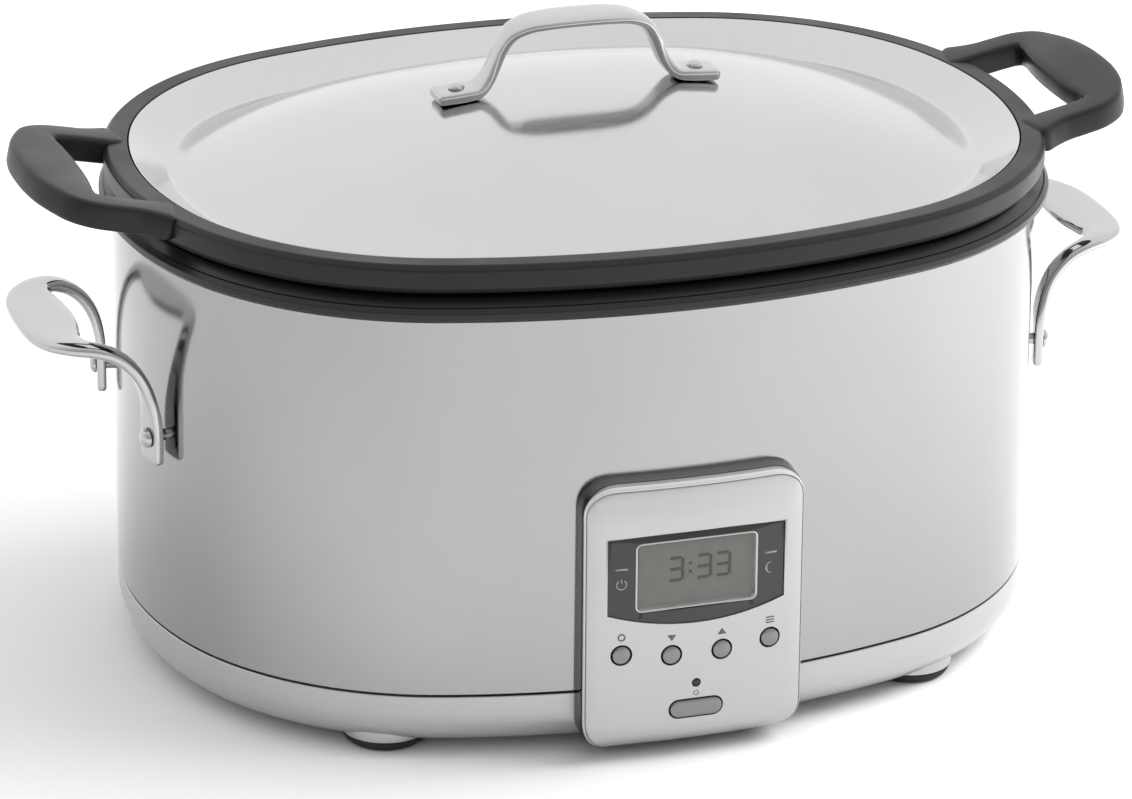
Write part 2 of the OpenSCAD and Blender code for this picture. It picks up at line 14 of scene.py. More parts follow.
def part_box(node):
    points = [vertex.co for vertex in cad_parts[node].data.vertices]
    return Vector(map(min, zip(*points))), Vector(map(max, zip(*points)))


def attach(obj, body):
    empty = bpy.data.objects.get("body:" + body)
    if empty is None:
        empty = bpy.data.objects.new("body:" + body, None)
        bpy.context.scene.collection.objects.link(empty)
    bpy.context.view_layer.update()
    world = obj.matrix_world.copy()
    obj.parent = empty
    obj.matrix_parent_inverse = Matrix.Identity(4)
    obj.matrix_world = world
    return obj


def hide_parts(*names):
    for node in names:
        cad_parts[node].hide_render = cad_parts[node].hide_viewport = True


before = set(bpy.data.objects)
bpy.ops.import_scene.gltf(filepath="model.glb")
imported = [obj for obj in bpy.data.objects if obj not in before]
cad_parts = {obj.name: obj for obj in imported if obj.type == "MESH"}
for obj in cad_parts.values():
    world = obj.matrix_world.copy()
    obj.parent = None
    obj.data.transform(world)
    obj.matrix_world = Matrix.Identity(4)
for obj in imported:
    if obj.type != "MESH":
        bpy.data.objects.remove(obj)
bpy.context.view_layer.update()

MM = 0.001


def box_mm(node):
    """Lowest and highest corners of a CAD node, in millimetres."""
    low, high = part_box(node)
    return low / MM, high / MM


# ---------------------------------------------------------------- camera

def add_camera():
    """A long lens, a little above the front left of the cooker."""
    azimuth = math.radians(-18.378)
    elevation = math.radians(21.80)
    roll = math.radians(0.648)
    distance = 2.4026
    right = Vector((math.cos(azimuth), math.sin(azimuth), 0))
    back = Vector((math.sin(azimuth) * math.cos(elevation),
                   -math.cos(azimuth) * math.cos(elevation), math.sin(elevation)))
    up = back.cross(right)
    target = -0.0026 * right + Vector((0, 0, 0.092))
    rolled_right = right * math.cos(roll) + up * math.sin(roll)
    rolled_up = up * math.cos(roll) - right * math.sin(roll)
    data = bpy.data.cameras.new("camera")
    data.sensor_width = 36
    data.lens = 183.7
    camera = bpy.data.objects.new("camera", data)
    bpy.context.scene.collection.objects.link(camera)
    turn = Matrix((rolled_right, rolled_up, back)).transposed()
    camera.matrix_world = Matrix.Translation(target + distance * back) @ turn.to_4x4()
    bpy.context.scene.camera = camera


add_camera()


# ---------------------------------------------------------------- the housing's oval

CORNER_R = 125
HALF_L, HALF_W = box_mm("outer_wrapper")[1].xy
SIDE_FLAT = (7 * (HALF_L - CORNER_R) - (HALF_W - CORNER_R)) / 48
END_FLAT = HALF_L - CORNER_R - 7 * SIDE_FLAT
CORNER_C = Vector((7 * SIDE_FLAT, 7 * END_FLAT))
END_R = CORNER_R + 25 * END_FLAT
END_C = Vector((CORNER_C.x - 24 * END_FLAT, 0))
SIDE_R = CORNER_R + 25 * SIDE_FLAT
SIDE_C = Vector((0, CORNER_C.y - 24 * SIDE_FLAT))
JOINT_ANGLE = math.atan2(0.28, 0.96)


def oval_stations(step):
    """Centre, radius and outward direction of points about step apart round the wrapper."""
    quarter = math.pi / 2
    arcs = [(END_C, END_R, 0, JOINT_ANGLE), (CORNER_C, CORNER_R, JOINT_ANGLE, quarter - JOINT_ANGLE),
            (SIDE_C, SIDE_R, quarter - JOINT_ANGLE, quarter)]
    first = []
    for centre, radius, low, high in arcs:
        count = round(radius * (high - low) / step)
        for i in range(count):
            angle = low + (high - low) * i / count
            first.append((centre, radius, angle))
    top = [(SIDE_C, SIDE_R, quarter)]
    mirrored = [(Vector((-c.x, c.y)), r, math.pi - a) for c, r, a in reversed(first)]
    upper = first + top + mirrored
    lower = [(-c, r, a + math.pi) for c, r, a in upper[:-1]]
    return [(c, r, Vector((math.cos(a), math.sin(a)))) for c, r, a in upper[:-1] + lower]


STATIONS = oval_stations(4.4)


def oval_point(station, off):
    centre, radius, out = station
    return centre + out * (radius + off)


# ---------------------------------------------------------------- mesh helpers

def rounded(corners, closed=True, steps=4):
    """Points of an outline whose corners are (x, z, radius), with each corner turned by an arc."""
    points = []
    count = len(corners)
    for i, (x, z, radius) in enumerate(corners):
        here = Vector((x, z))
        if radius == 0 or (not closed and i in (0, count - 1)):
            points.append(here)
            continue
        to_last = (Vector(corners[i - 1][:2]) - here).normalized()
        to_next = (Vector(corners[(i + 1) % count][:2]) - here).normalized()
        half = to_last.angle(to_next) / 2
        middle = (to_last + to_next).normalized()
        centre = here + middle * radius / math.sin(half)
        start = here + to_last * radius / math.tan(half) - centre
        sweep = start.angle_signed(here + to_next * radius / math.tan(half) - centre)
        for k in range(steps + 1):
            points.append(centre + Matrix.Rotation(-sweep * k / steps, 2) @ start)
    return points


def grid_faces(rows, columns, close_rows=True, close_columns=True):
    """Quads of a grid of rows by columns vertices, joined end to end where it closes."""
    faces = []
    for i in range(rows if close_rows else rows - 1):
        for j in range(columns if close_columns else columns - 1):
            i2, j2 = (i + 1) % rows, (j + 1) % columns
            faces.append((i * columns + j, i2 * columns + j, i2 * columns + j2, i * columns + j2))
    return faces


def make(name, vertices, faces, material, body, slot, stands_for=(), weighted=True):
    """A smooth-shaded mesh piece from vertices in millimetres, riding on a body."""
    mesh = bpy.data.meshes.new(name)
    mesh.from_pydata([Vector(v) * MM for v in vertices], [], faces)
    finished = bmesh.new()
    finished.from_mesh(mesh)
    bmesh.ops.recalc_face_normals(finished, faces=finished.faces)
    finished.to_mesh(mesh)
    finished.free()
    return dress(name, mesh, material, body, stands_for, weighted)


def dress(name, mesh, material, body, stands_for=(), weighted=True):
    """The object of a finished mesh, with its material and body."""
    mesh.polygons.foreach_set("use_smooth", [True] * len(mesh.polygons))
    mesh.materials.clear()
    mesh.materials.append(material)
    piece = bpy.data.objects.new(name, mesh)
    bpy.context.scene.collection.objects.link(piece)
    if weighted:
        modifier = piece.modifiers.new("even_normals", "WEIGHTED_NORMAL")
        modifier.weight = 100
        modifier.keep_sharp = True
    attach(piece, body)
    if stands_for:
        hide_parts(*stands_for)
    return piece


def around(section):
    """Vertices and faces of a closed section swept round the oval."""
    vertices = []
    for station in STATIONS:
        for off, z in section:
            vertices.append((*oval_point(station, off), z))
    return vertices, grid_faces(len(STATIONS), len(section))


def dish(profiles):
    """Vertices and faces of open profiles, one per station, each end closed at the middle."""
    columns = len(profiles[0])
    vertices = [p for profile in profiles for p in profile]
    faces = grid_faces(len(profiles), columns, close_columns=False)
    rows = len(profiles)
    for j in (0, columns - 1):
        z = sum(profile[j][2] for profile in profiles) / rows
        vertices.append((0, 0, z))
        middle = len(vertices) - 1
        for i in range(rows):
            faces.append((i * columns + j, ((i + 1) % rows) * columns + j, middle))
    return vertices, faces


def spline(keys, per):
    """Smooth rows through key rows of numbers, with per steps between keys.

    The first three numbers of a row are its place, and spacing follows the distance between places.
    """
    rows = [Vector(key) for key in keys]
    rows = [2 * rows[0] - rows[1]] + rows + [2 * rows[-1] - rows[-2]]
    knots = [0.0]
    for a, b in zip(rows, rows[1:]):
        knots.append(knots[-1] + (Vector(b[:3]) - Vector(a[:3])).length ** 0.5)
    result = []
    for i in range(1, len(rows) - 2):
        t0, t1, t2, t3 = knots[i - 1:i + 3]
        for k in range(per):
            t = t1 + (t2 - t1) * k / per
            a1 = rows[i - 1].lerp(rows[i], (t - t0) / (t1 - t0))
            a2 = rows[i].lerp(rows[i + 1], (t - t1) / (t2 - t1))
            a3 = rows[i + 1].lerp(rows[i + 2], (t - t2) / (t3 - t2))
            b1 = a1.lerp(a2, (t - t0) / (t2 - t0))
            b2 = a2.lerp(a3, (t - t1) / (t3 - t1))
            result.append(list(b1.lerp(b2, (t - t1) / (t2 - t1))))
    result.append(list(keys[-1]))
    return result


def bar(rows, sides=28):
    """Vertices and faces of a bar through rows (x, y, z, up x, up y, up z, width, thickness, squareness).

    Its section is a superellipse, and its ends are rounded over.
    """
    points = [Vector(r[:3]) for r in rows]
    stations = []
    for i, row in enumerate(rows):
        along = (points[min(i + 1, len(rows) - 1)] - points[max(i - 1, 0)]).normalized()
        up = Vector(row[3:6])
        up = (up - along * up.dot(along)).normalized()
        stations.append((points[i], along, up, row[6], row[7], row[8]))
    vertices = []
    for i, (point, along, up, width, thick, square) in enumerate(stations):
        side = along.cross(up)
        caps = [(0.0, 1.0)]
        radius = min(width, thick) * 0.42
        if i == 0:
            caps = [(-radius * math.sin(a), math.cos(a)) for a in (1.35, 1.0, 0.6, 0.25)] + caps
        if i == len(stations) - 1:
            caps = caps + [(radius * math.sin(a), math.cos(a)) for a in (0.25, 0.6, 1.0, 1.35)]
        for shift, shrink in caps:
            inset = radius * (1 - shrink)
            for k in range(sides):
                angle = 2 * math.pi * k / sides
                c, s = math.cos(angle), math.sin(angle)
                u = math.copysign(abs(c) ** (2 / square), c) * (width / 2 - inset)
                v = math.copysign(abs(s) ** (2 / square), s) * (thick / 2 - inset)
                vertices.append(point + along * shift + side * u + up * v)
    rings = len(vertices) // sides
    faces = grid_faces(rings, sides, close_rows=False)
    faces.append(list(range(sides)))
    faces.append(list(range((rings - 1) * sides, rings * sides)))
    return vertices, faces


def turned(vertices, angle):
    """The same vertices turned about the vertical axis."""
    turn = Matrix.Rotation(angle, 3, "Z")
    return [turn @ Vector(v) for v in vertices]


def join_lists(*parts):
    """One vertex and face list from several."""
    vertices, faces = [], []
    for more_vertices, more_faces in parts:
        start = len(vertices)
        vertices += list(more_vertices)
        faces += [[i + start for i in face] for face in more_faces]
    return vertices, faces


def spun(profile, centre, axis, sides=40):
    """Vertices and faces of a profile of (radius, height) turned about an axis through centre."""
    axis = Vector(axis).normalized()
    across = axis.orthogonal().normalized()
    other = axis.cross(across)
    vertices = []
    for k in range(sides):
        angle = 2 * math.pi * k / sides
        out = across * math.cos(angle) + other * math.sin(angle)
        for radius, height in profile:
            vertices.append(Vector(centre) + out * radius + axis * height)
    columns = len(profile)
    faces = grid_faces(sides, columns, close_columns=False)
    for j, height in ((0, profile[0][1]), (columns - 1, profile[-1][1])):
        vertices.append(Vector(centre) + axis * height)
        middle = len(vertices) - 1
        for k in range(sides):
            faces.append((k * columns + j, ((k + 1) % sides) * columns + j, middle))
    return vertices, faces


# ---------------------------------------------------------------- materials

def new_material(name):
    material = bpy.data.materials.new(name)
    material.use_nodes = True
    nodes = material.node_tree.nodes
    return material, nodes, material.node_tree.links, nodes["Principled BSDF"]


def noise(nodes, links, scale, stretch=(1, 1, 1), detail=4.0):
    """A noise texture in object space, finer along the larger stretch values."""
    coordinates = nodes.new("ShaderNodeTexCoord")
    mapping = nodes.new("ShaderNodeMapping")
    mapping.inputs["Scale"].default_value = stretch
    texture = nodes.new("ShaderNodeTexNoise")
    texture.inputs["Scale"].default_value = scale
    texture.inputs["Detail"].default_value = detail
    links.new(coordinates.outputs["Object"], mapping.inputs["Vector"])
    links.new(mapping.outputs["Vector"], texture.inputs["Vector"])
    return texture.outputs["Fac"]


def ramp(nodes, links, source, low, high, start=0.3, end=0.7):
    """Maps source from start..end to low..high."""
    node = nodes.new("ShaderNodeMapRange")
    node.inputs["From Min"].default_value = start
    node.inputs["From Max"].default_value = end
    node.inputs["To Min"].default_value = low
    node.inputs["To Max"].default_value = high
    links.new(source, node.inputs["Value"])
    return node.outputs["Result"]


def colour_between(nodes, links, factor, dark, light):
    node = nodes.new("ShaderNodeMix")
    node.data_type = "RGBA"
    node.inputs[6].default_value = (*dark, 1)
    node.inputs[7].default_value = (*light, 1)
    links.new(factor, node.inputs[0])
    return node.outputs[2]


def bump(nodes, links, shader, height, strength, distance):
    node = nodes.new("ShaderNodeBump")
    node.inputs["Strength"].default_value = strength
    node.inputs["Distance"].default_value = distance
    links.new(height, node.inputs["Height"])
    links.new(node.outputs["Normal"], shader.inputs["Normal"])


def grey(value):
    return (value, value, value * 1.005)


def steel(name, tone, roughness, grain=(1, 1, 1), grain_scale=60, grain_depth=0.15, anisotropic=0.0):
    """Stainless steel: fine grain in roughness and bump, with faint mottling of its tone."""
    material, nodes, links, shader = new_material(name)
    shader.inputs["Metallic"].default_value = 1.0
    shader.inputs["Anisotropic"].default_value = anisotropic
    shader.inputs["Anisotropic Rotation"].default_value = 0.25
    lines = noise(nodes, links, grain_scale, grain, 6.0)
    clouds = noise(nodes, links, 14.0, (1, 1, 1), 3.0)
    links.new(colour_between(nodes, links, clouds, grey(tone * 0.95), grey(tone * 1.05)),
              shader.inputs["Base Color"])
    links.new(ramp(nodes, links, lines, roughness * 0.8, roughness * 1.25), shader.inputs["Roughness"])
    if anisotropic:
        tangent = nodes.new("ShaderNodeTangent")
        tangent.direction_type = "RADIAL"
        tangent.axis = "Z"
        links.new(tangent.outputs["Tangent"], shader.inputs["Tangent"])
    bump(nodes, links, shader, lines, grain_depth, 0.00004)
    return material


def silver(name, tone, roughness):
    """Silver paint with a fine metallic flake under a thin clear coat."""
    material, nodes, links, shader = new_material(name)
    flake = noise(nodes, links, 2200.0, (1, 1, 1), 2.0)
    broad = noise(nodes, links, 22.0, (1, 1, 1), 2.0)
    shader.inputs["Metallic"].default_value = 0.75
    shader.inputs["Coat Weight"].default_value = 0.25
    shader.inputs["Coat Roughness"].default_value = 0.12
    links.new(colour_between(nodes, links, flake, grey(tone * 0.95), grey(tone * 1.05)),
              shader.inputs["Base Color"])
    links.new(ramp(nodes, links, broad, roughness * 0.92, roughness * 1.1), shader.inputs["Roughness"])
    bump(nodes, links, shader, flake, 0.03, 0.00002)
    return material


def plastic(name, tone, roughness, texture_scale=900, texture_depth=0.2, tint=(1, 1, 1), gloss=0.5):
    """Moulded plastic: a fine leathery texture and slightly uneven gloss."""
    material, nodes, links, shader = new_material(name)
    shader.inputs["Specular IOR Level"].default_value = gloss
    fine = noise(nodes, links, texture_scale, (1, 1, 1), 3.0)
    broad = noise(nodes, links, 25.0, (1, 1, 1), 2.0)
    dark = tuple(tone * t * 0.88 for t in tint)
    light = tuple(tone * t * 1.12 for t in tint)
    links.new(colour_between(nodes, links, fine, dark, light), shader.inputs["Base Color"])
    links.new(ramp(nodes, links, broad, roughness * 0.85, roughness * 1.2), shader.inputs["Roughness"])
    bump(nodes, links, shader, fine, texture_depth, 0.00008)
    return material


def surround_painted_top_sheen():
    """Glossy black at the sides, with the upward-facing top painted silver as painted sheen."""
    material, nodes, links, shader = new_material("surround_painted_top_sheen")
    facing = nodes.new("ShaderNodeNewGeometry")
    split = nodes.new("ShaderNodeSeparateXYZ")
    links.new(facing.outputs["Normal"], split.inputs["Vector"])
    # Painted sheen: colour and metalness turn silver where the surface normal points up.
    top = ramp(nodes, links, split.outputs["Z"], 0, 1, 0.55, 0.98)
    links.new(colour_between(nodes, links, top, grey(0.006), grey(0.26)), shader.inputs["Base Color"])
    links.new(ramp(nodes, links, top, 0, 0.8, 0, 1), shader.inputs["Metallic"])
    shader.inputs["Specular IOR Level"].default_value = 0.25
    fine = noise(nodes, links, 1200, (1, 1, 1), 3.0)
    links.new(ramp(nodes, links, fine, 0.15, 0.20), shader.inputs["Roughness"])
    bump(nodes, links, shader, fine, 0.05, 0.00004)
    return material


LID_STEEL = steel("lid_steel", 0.56, 0.14, (1, 12, 12), 90, 0.04)
POLISHED = steel("polished_steel", 0.50, 0.07, (1, 1, 1), 300, 0.03)
WRAPPER_STEEL = steel("wrapper_steel", 0.37, 0.13, (1, 1, 120), 18, 0.06, 0.5)
BEZEL = steel("bezel_chrome", 0.45, 0.14, (1, 1, 1), 300, 0.02)
PLATED = steel("plated", 0.45, 0.32, (1, 1, 1), 120, 0.10)
SKIRT_SILVER = silver("skirt_silver", 0.48, 0.30)
PANEL_SILVER = silver("panel_silver", 0.48, 0.36)
BUTTON_SILVER = silver("button_silver", 0.22, 0.28)
TRIM_SILVER = silver("trim_silver", 0.64, 0.22)
POT_BLACK = plastic("pot_black", 0.008, 0.40, 1500, 0.2, gloss=0.36)
COLLAR_BLACK = plastic("collar_black", 0.007, 0.30, 1200, 0.15, gloss=0.4)
# Black sides, with a painted silver sheen on the upward-facing top.
SURROUND_PAINTED_TOP_SHEEN = surround_painted_top_sheen()
SMOKED = plastic("smoked_pane", 0.030, 0.16, 300, 0.02)
RUBBER = plastic("rubber", 0.012, 0.7, 700, 0.3)
BLACK_PLASTIC = plastic("black_plastic", 0.03, 0.5)
LENS = plastic("lamp_lens", 0.02, 0.15, 300, 0.02, (1.6, 0.5, 0.5))
MARK_LIGHT = plastic("mark_light", 0.30, 0.4, 600, 0.02)
MARK_DARK = plastic("mark_dark", 0.10, 0.5, 600, 0.02)
LCD_GREEN = plastic("lcd_green", 0.13, 0.22, 200, 0.01, (0.93, 1.0, 0.88))
DIGIT_INK = plastic("digit_ink", 0.055, 0.5, 300, 0.02, (0.95, 1.0, 0.92))


# ---------------------------------------------------------------- studio

def add_floor():
    """A plain white floor."""
    size = 6.0
    mesh = bpy.data.meshes.new("floor")
    corners = [(-size, -size, 0), (size, -size, 0), (size, size, 0), (-size, size, 0)]
    mesh.from_pydata(corners, [], [(0, 1, 2, 3)])
    floor = bpy.data.objects.new("floor", mesh)
    bpy.context.scene.collection.objects.link(floor)
    material, _, _, shader = new_material("floor_paint")
    shader.inputs["Base Color"].default_value = (0.92, 0.92, 0.92, 1)
    shader.inputs["Roughness"].default_value = 0.9
    shader.inputs["Specular IOR Level"].default_value = 0.1
    mesh.materials.append(material)


def add_area(name, place, target, width, height, power):
    """A soft box that lights surfaces without showing in their reflections."""
    data = bpy.data.lights.new(name, "AREA")
    data.shape = "RECTANGLE"
    data.size = width
    data.size_y = height
    data.energy = power
    light = bpy.data.objects.new(name, data)
    bpy.context.scene.collection.objects.link(light)
    light.location = place
    light.rotation_euler = (Vector(target) - Vector(place)).to_track_quat("-Z", "Y").to_euler()
    light.visible_glossy = False


ROOM_BRIGHT_WAY = (0.35, 0.94, 0)
ROOM_STRENGTH = 1.30


def add_world():
    """A white room, brightest behind and to the right, and darkest in front and to the left."""
    world = bpy.data.worlds.new("studio")
    world.use_nodes = True
    bpy.context.scene.world = world
    nodes, links = world.node_tree.nodes, world.node_tree.links
    background = nodes["Background"]
    coordinates = nodes.new("ShaderNodeTexCoord")
    towards = nodes.new("ShaderNodeVectorMath")
    towards.operation = "DOT_PRODUCT"
    towards.inputs[1].default_value = ROOM_BRIGHT_WAY
    links.new(coordinates.outputs["Generated"], towards.inputs[0])
    brightness = ramp(nodes, links, towards.outputs["Value"], 0.42, 0.90, -0.9, 0.1)
    links.new(colour_between(nodes, links, brightness, grey(0.0), grey(1.0)), background.inputs["Color"])
    background.inputs["Strength"].default_value = ROOM_STRENGTH


bpy.context.scene.view_settings.view_transform = "Standard"
add_floor()
add_world()
add_area("right_box", (1.5, -0.2, 1.3), (1.3, -0.2, 0), 1.4, 1.6, 45)


# ---------------------------------------------------------------- lid

RIM_TOP = box_mm("outer_wrapper")[1].z + 23.1
CROWN_Z = box_mm("lid_shell")[1].z
LID_EDGE = -7.6
FLANGE_SLOPE = 2 / 3
DOME_EDGE = -31


def dome_height(share):
    """Height of the dome at a share of the way from its middle to its edge."""
    edge_z = RIM_TOP - 8.9
    return CROWN_Z - (CROWN_Z - edge_z) * share ** 2.25


def lid_profile(station, drop):
    """Points of the lid's upper face from its edge to its middle, lowered by drop."""
    def at(off, z):
        x, y = oval_point(station, off)
        return (x, y, z - drop)

    def flange_z(off):
        return RIM_TOP - 0.1 + (off - LID_EDGE) * FLANGE_SLOPE

    points = [at(LID_EDGE - 0.5 - 14.4 * i / 4, flange_z(LID_EDGE - 0.5 - 14.4 * i / 4)) for i in range(5)]
    ring = oval_point(station, DOME_EDGE)
    slope = (dome_height(1) - dome_height(0.97)) / (0.03 * ring.dot(station[2]))
    start = LID_EDGE - 14.9
    turn = (dome_height(1) - slope * DOME_EDGE - flange_z(0)) / (FLANGE_SLOPE - slope)
    corner = (turn, flange_z(turn))
    steps = 9
    for i in range(1, steps + 1):
        t = i / steps
        off = (1 - t) ** 2 * start + 2 * t * (1 - t) * corner[0] + t * t * DOME_EDGE
        z = (1 - t) ** 2 * flange_z(start) + 2 * t * (1 - t) * corner[1] + t * t * dome_height(1)
        points.append(at(off, z))
    rings = 26
    for i in range(1, rings):
        share = 1 - i / rings
        points.append((ring.x * share, ring.y * share, dome_height(share) - drop))
    return points


def add_lid_shell():
    sheet = 1.3
    profiles = []
    for station in STATIONS:
        top = lid_profile(station, 0)
        under = lid_profile(station, sheet)
        x, y = oval_point(station, LID_EDGE)
        x2, y2 = oval_point(station, LID_EDGE - 0.1)
        edge_z = RIM_TOP - 0.1
        edge = [(x2, y2, edge_z - sheet * 0.9), (x, y, edge_z - sheet * 0.65), (x, y, edge_z - sheet * 0.3),
                (x2, y2, edge_z - sheet * 0.08)]
        profiles.append(list(reversed(under)) + edge + top)
    make("lid_shell_pressed", *dish(profiles), LID_STEEL, "lid", "lid_steel", ["lid_shell"])


def add_lid_handle():
    top = box_mm("lid_handle")[1].z
    foot_z = dome_height(50 / 159) + 2.7
    half = [
        (0, 0, top - 2.4, 0, 0, 1, 20.5, 4.6, 3.2),
        (13, 0, top - 2.7, 0, 0, 1, 20.0, 4.6, 3.2),
        (22, 0, top - 3.9, 0.12, 0, 1, 17.6, 4.8, 3.0),
        (28.6, 0, top - 7.2, 0.6, 0, 0.8, 14.0, 5.0, 2.8),
        (32.4, 0, top - 12.6, 1, 0, 0.4, 11.6, 5.0, 2.8),
        (35.0, 0, top - 18.6, 1, 0, 0.35, 10.8, 5.0, 2.8),
        (37.8, 0, top - 24.4, 1, 0, 0.5, 11.6, 5.0, 3.2),
        (42.4, 0, foot_z + 1.0, 0.4, 0, 1, 14.0, 4.8, 5),
        (48.5, 0, foot_z, 0.06, 0, 1, 15.0, 4.8, 8),
        (58.4, 0, foot_z - 0.7, 0.05, 0, 1, 14.8, 4.6, 8),
    ]
    mirrored = [(-r[0], *r[1:3], -r[3], *r[4:]) for r in reversed(half[1:])]
    rows = spline(mirrored + half, 8)
    make("lid_handle_bridge", *bar(rows), POLISHED, "lid", "polished_steel", ["lid_handle"], False)


def add_lid_rivets():
    pieces = []
    for side in (-1, 1):
        head_z = dome_height(51 / 159) + 4.8
        profile = [(2.4, -12), (2.4, 0), (3.4, 0.1), (3.5, 0.5), (3.1, 1.3), (2.2, 1.9), (1.1, 2.2)]
        pieces.append(spun(profile, (side * 51, 0, head_z), (0, 0, 1)))
    make("lid_rivet_heads", *join_lists(*pieces), POLISHED, "lid", "polished_steel", ["lid_rivets"])


add_lid_shell()
add_lid_handle()
add_lid_rivets()


# ---------------------------------------------------------------- pot

POT_HANDLE_RISE = math.radians(12)


def pot_profile():
    """The pot's whole section, from under its middle, over the rim, to its floor's middle."""
    low = RIM_TOP - 11.8
    floor = box_mm("insert_pot")[0].z
    return rounded([
        (-70, floor, 0), (-27.5, floor, 12), (-27.5, low - 10.4, 3), (-12, low, 2), (1.2, low, 2.2),
        (3, low + 3, 2), (3, RIM_TOP - 2, 1.8), (1, RIM_TOP, 1.5), (-7, RIM_TOP, 0.5),
        (-7, RIM_TOP - 1.8, 0.4), (-25, RIM_TOP - 13.8, 2), (-32.5, RIM_TOP - 20.2, 6),
        (-32.5, floor + 6, 12), (-70, floor + 6, 0)],
        closed=False, steps=5)


def add_pot_body():
    profile = pot_profile()
    profiles = [[(*oval_point(s, off), z) for off, z in profile] for s in STATIONS]
    make("pot_casting", *dish(profiles), POT_BLACK, "pot", "pot_coating", ["insert_pot"])


def pot_handle_rows():
    """A wide grip and its two arms, rising outwards from the rim."""
    root = HALF_L - 12
    rise = math.tan(POT_HANDLE_RISE)
    up = (-math.sin(POT_HANDLE_RISE), 0, math.cos(POT_HANDLE_RISE))
    thick = 11.2
    plan = [(220.9, 0, 26.0), (220.7, 13, 25.2), (220.0, 24.5, 22.2), (218.6, 33.2, 18.0),
            (216.4, 39.2, 15.6), (211.2, 43.0, 14.6), (204, 44.0, 14.2), (196, 44.3, 14.4),
            (189, 45.4, 16.8), (184, 46.6, 19.4)]
    half = []
    for x, y, width in plan:
        top = RIM_TOP + (x - root) * rise
        half.append((x, y, top - thick / 2, *up, width, thick, 6.0))
    mirrored = [(r[0], -r[1], *r[2:]) for r in reversed(half[1:])]
    return spline(mirrored + half, 7)


def add_pot_handles():
    vertices, faces = bar(pot_handle_rows())
    both = join_lists((vertices, faces), (turned(vertices, math.pi), faces))
    make("pot_handles", *both, POT_BLACK, "pot", "pot_coating", (), False)


add_pot_body()
add_pot_handles()


# ---------------------------------------------------------------- housing shells

WRAPPER_TOP = box_mm("outer_wrapper")[1].z
SEAM_Z = box_mm("outer_wrapper")[0].z


def add_wrapper():
    section = rounded([(0, SEAM_Z, 0.3), (0, WRAPPER_TOP, 0.3), (-1, WRAPPER_TOP, 0.3), (-1, SEAM_Z, 0.3)])
    make("wrapper_sleeve", *around(section), WRAPPER_STEEL, "housing", "brushed_wrapper", ["outer_wrapper"])


def add_collar():
    z = WRAPPER_TOP
    section = rounded([
        (-1.2, z - 9, 0), (-1.2, z + 0.1, 0), (3.4, z + 0.1, 0.7), (5, z + 1.9, 0.9), (5, z + 4.2, 0.9),
        (3.4, z + 5.9, 0.5), (2.6, z + 6.1, 0.4), (-1.2, z + 9.2, 1.2), (-7.8, z + 10.9, 1.0),
        (-11.7, z + 10.9, 0.4), (-11.7, z + 9, 0), (-7.5, z + 9, 0), (-2.8, z + 4.4, 0), (-2.8, z - 9, 0)])
    make("collar_ring", *around(section), COLLAR_BLACK, "housing", "collar_plastic", ["collar"])


def add_skirt():
    """The skirt, with a round boss above each foot."""
    z = SEAM_Z - 1.0
    low = box_mm("base_skirt")[0].z
    section = rounded([
        (-48, low, 0.4), (0, low, 16), (0, z, 0.5), (-3.8, z, 0), (-3.8, low + 16, 0),
        (-14, low + 2.5, 0), (-48, low + 2.5, 0.4)], steps=8)
    parts = [around(section)]
    foot_low, foot_high = box_mm("foot_front_left")
    middle = (foot_low + foot_high) / 2
    radius = (foot_high.x - foot_low.x) / 2 + 0.5
    boss = [(radius - 6, low), (radius - 0.5, low + 0.01), (radius, low + 0.5), (radius - 0.2, low + 4.2),
            (radius - 0.8, low + 5.0), (radius - 4, low + 5.6)]
    for x in (-1, 1):
        for y in (-1, 1):
            parts.append(spun(boss, (x * middle.x, y * middle.y, 0), (0, 0, 1), 56))
    make("skirt_shell", *join_lists(*parts), SKIRT_SILVER, "housing", "silver_skirt", ["base_skirt"])


add_wrapper()
add_collar()
add_skirt()


# ---------------------------------------------------------------- side handles

def side_handle_rows():
    low, high = box_mm("side_handle_right")
    reach = high.x
    z = high.z - 2.4
    pad = (-0.97, -0.24, 0)
    half = [
        (reach - 12.2, 0, z, 0, 0, 1, 24.0, 4.4, 5),
        (reach - 12.0, 11, z, 0, 0, 1, 23.2, 4.5, 4.5),
        (reach - 12.0, 21, z, 0, 0, 1, 20.6, 4.7, 4),
        (reach - 13.6, 29.5, z + 0.1, 0, 0, 1, 16.4, 5.2, 3.2),
        (reach - 18, 36, z + 0.2, -0.05, 0, 1, 12.0, 5.6, 2.7),
        (reach - 25, 39.4, z - 0.6, -0.24, 0, 1, 9.6, 5.7, 2.5),
        (reach - 32, 40.6, z - 3.4, -0.53, 0, 0.85, 8.8, 5.6, 2.5),
        (reach - 38, 41.2, z - 8.6, -0.77, 0, 0.64, 8.8, 5.4, 2.6),
        (reach - 42.4, 41.6, z - 16, -0.92, -0.1, 0.38, 9.4, 5.0, 3),
        (reach - 44.9, 41.9, z - 25, -0.97, -0.18, 0.15, 11.4, 4.4, 4.5),
        (reach - 45.7, 42, z - 34, *pad, 13.0, 4.0, 7),
        (reach - 45.8, 42, low.z + 3, *pad, 12.8, 4.0, 7),
    ]
    mirrored = [(r[0], -r[1], *r[2:4], -r[4], *r[5:]) for r in reversed(half[1:])]
    return spline(mirrored + half, 8)


def add_side_handles():
    vertices, faces = bar(side_handle_rows())
    make("side_loop_right", vertices, faces, POLISHED, "housing", "polished_steel",
         ["side_handle_right"], False)
    make("side_loop_left", turned(vertices, math.pi), faces, POLISHED, "housing", "polished_steel",
         ["side_handle_left"], False)


